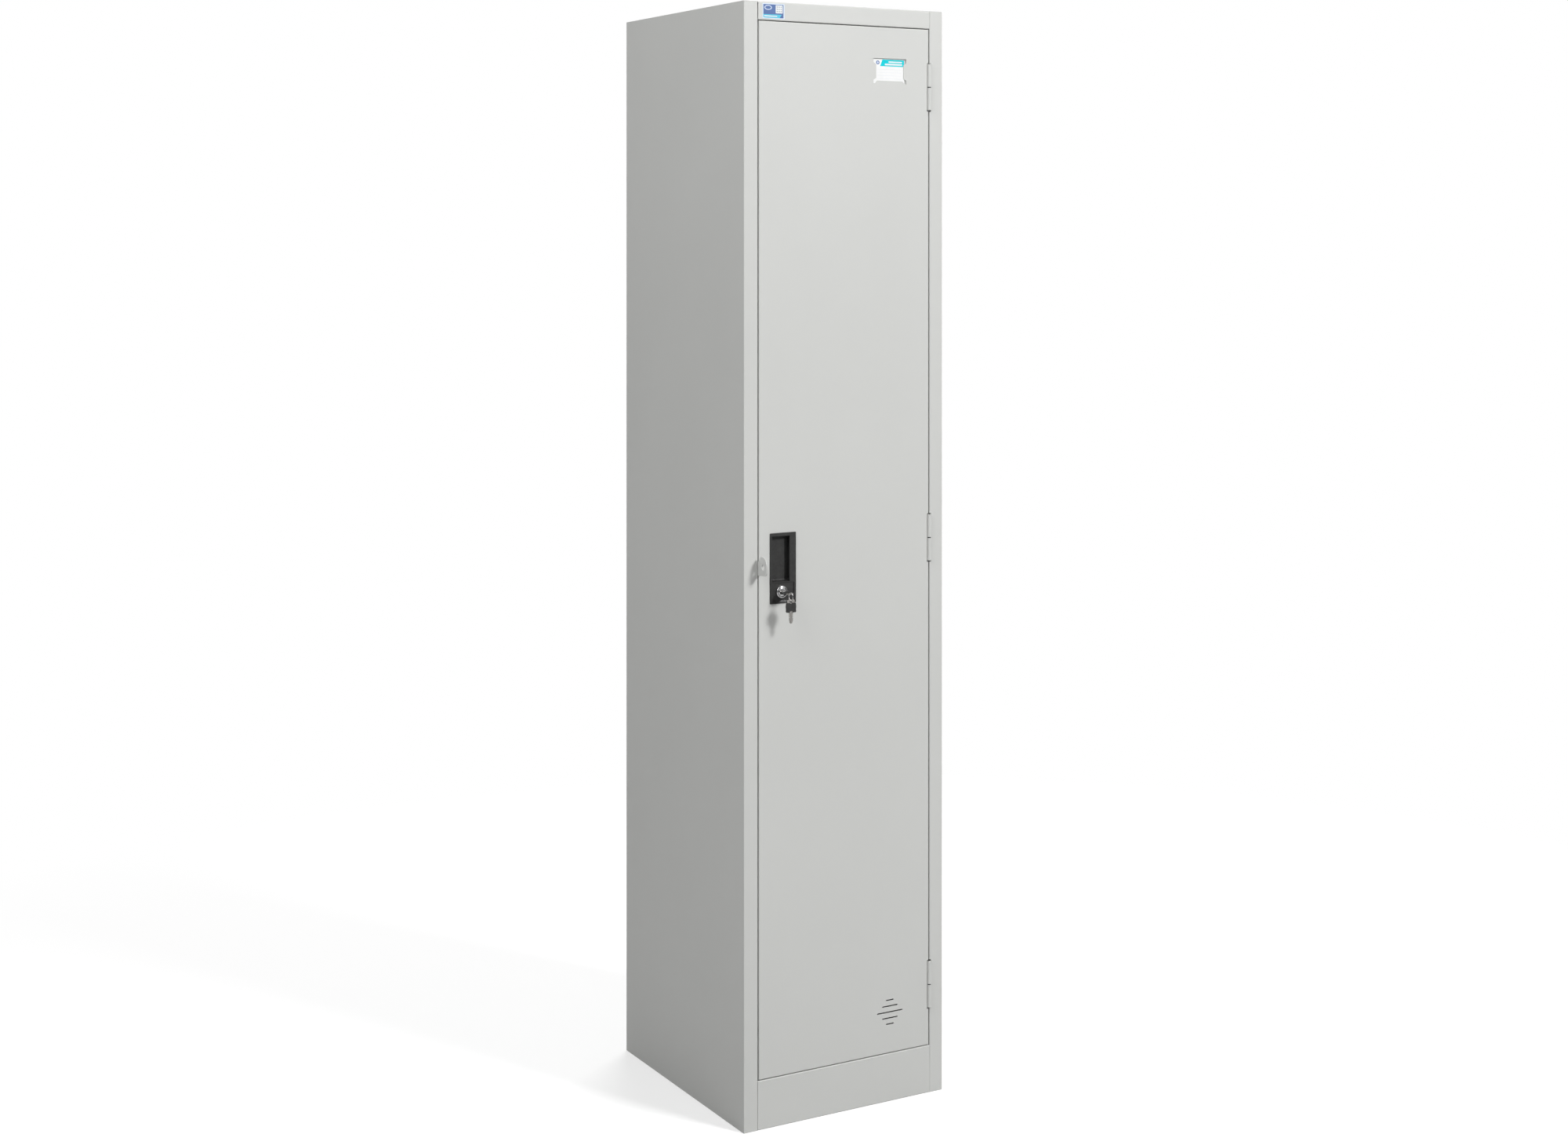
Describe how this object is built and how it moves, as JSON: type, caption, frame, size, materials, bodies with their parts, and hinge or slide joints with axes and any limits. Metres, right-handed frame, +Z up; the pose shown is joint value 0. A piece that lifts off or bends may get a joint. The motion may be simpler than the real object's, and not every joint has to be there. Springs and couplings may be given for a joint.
{
  "type": "school locker",
  "caption": "Tall sheet-steel locker with a hinged door, keyed cam lock in a recessed pull, padlock ears, hat shelf, coat rail and shoe shelf.",
  "frame": {"origin": "on the floor, at the middle of the front face plane", "axes": "+Z up, +Y from the front to the back, +X to the right seen from the front (the hinge side)"},
  "size_m": [0.38, 0.4903, 1.83],
  "materials": {
    "powder_coat": "light grey powder coat, fine texture, semi-matt",
    "black_plastic": "moulded, fine texture",
    "chrome": "polished",
    "zinc_steel": "zinc plated",
    "key_steel": "nickel plated",
    "rubber": "matt",
    "card": "printed card, plain",
    "label": null
  },
  "bodies": {
    "cabinet": {"left_side_panel": "powder_coat", "right_side_panel": "powder_coat", "back_panel": "powder_coat", "top_panel": "powder_coat", "floor_panel": "powder_coat", "kick_plate": "powder_coat", "hat_shelf": "powder_coat", "shoe_shelf": "powder_coat", "coat_rail": "zinc_steel", "left_rail_socket": "zinc_steel", "right_rail_socket": "zinc_steel", "door_buffers": "rubber", "frame_padlock_ear": "powder_coat", "label_sticker": "label", "hinge_washers": "black_plastic", "top_frame_leaf": "powder_coat", "middle_frame_leaf": "powder_coat", "bottom_frame_leaf": "powder_coat", "top_hinge_pin": "zinc_steel", "middle_hinge_pin": "zinc_steel", "bottom_hinge_pin": "zinc_steel"},
    "door": {"door_panel": "powder_coat", "door_stiffener": "powder_coat", "door_padlock_ear": "powder_coat", "card_pocket": "powder_coat", "name_card": "card", "pull_housing": "black_plastic", "lock_backplate": "zinc_steel", "lock_housing": "chrome", "lock_nut": "zinc_steel", "top_door_leaf": "powder_coat", "middle_door_leaf": "powder_coat", "bottom_door_leaf": "powder_coat"},
    "lock": {"lock_plug": "chrome", "lock_cam": "zinc_steel", "cam_screw": "zinc_steel"},
    "key": {"key_blade": "key_steel", "key_grip": "black_plastic"},
    "key_ring": {"key_ring": "chrome"},
    "spare_key": {"spare_key_blade": "key_steel", "spare_key_grip": "black_plastic"}
  },
  "joints": [
    {"name": "door_swing", "type": "hinge", "parent": "cabinet", "child": "door", "pos_m": [0.1635, -0.0008, 0.94], "axis": [0, 0, 1], "range_deg": [0, 170]},
    {"name": "lock_turn", "type": "hinge", "parent": "door", "child": "lock", "pos_m": [-0.1214, 0, 0.87], "axis": [0, -1, 0], "range_deg": [0, 90]},
    {"name": "key_pull", "type": "slide", "parent": "lock", "child": "key", "axis": [0, -1, 0], "range_m": [0, 0.03]},
    {"name": "ring_swing", "type": "hinge", "parent": "key", "child": "key_ring", "pos_m": [-0.1214, -0.0275, 0.87], "axis": [0, 0, -1], "range_deg": [0, 90]},
    {"name": "spare_swing", "type": "hinge", "parent": "key_ring", "child": "spare_key", "pos_m": [-0.1214, -0.03285, 0.8658], "axis": [-1, 0, 0], "range_deg": [0, 90]}
  ],
  "couplings": [
    {"joint": "ring_swing", "follows": "lock_turn", "ratio": 1},
    {"joint": "spare_swing", "follows": "lock_turn", "ratio": 1}
  ]
}
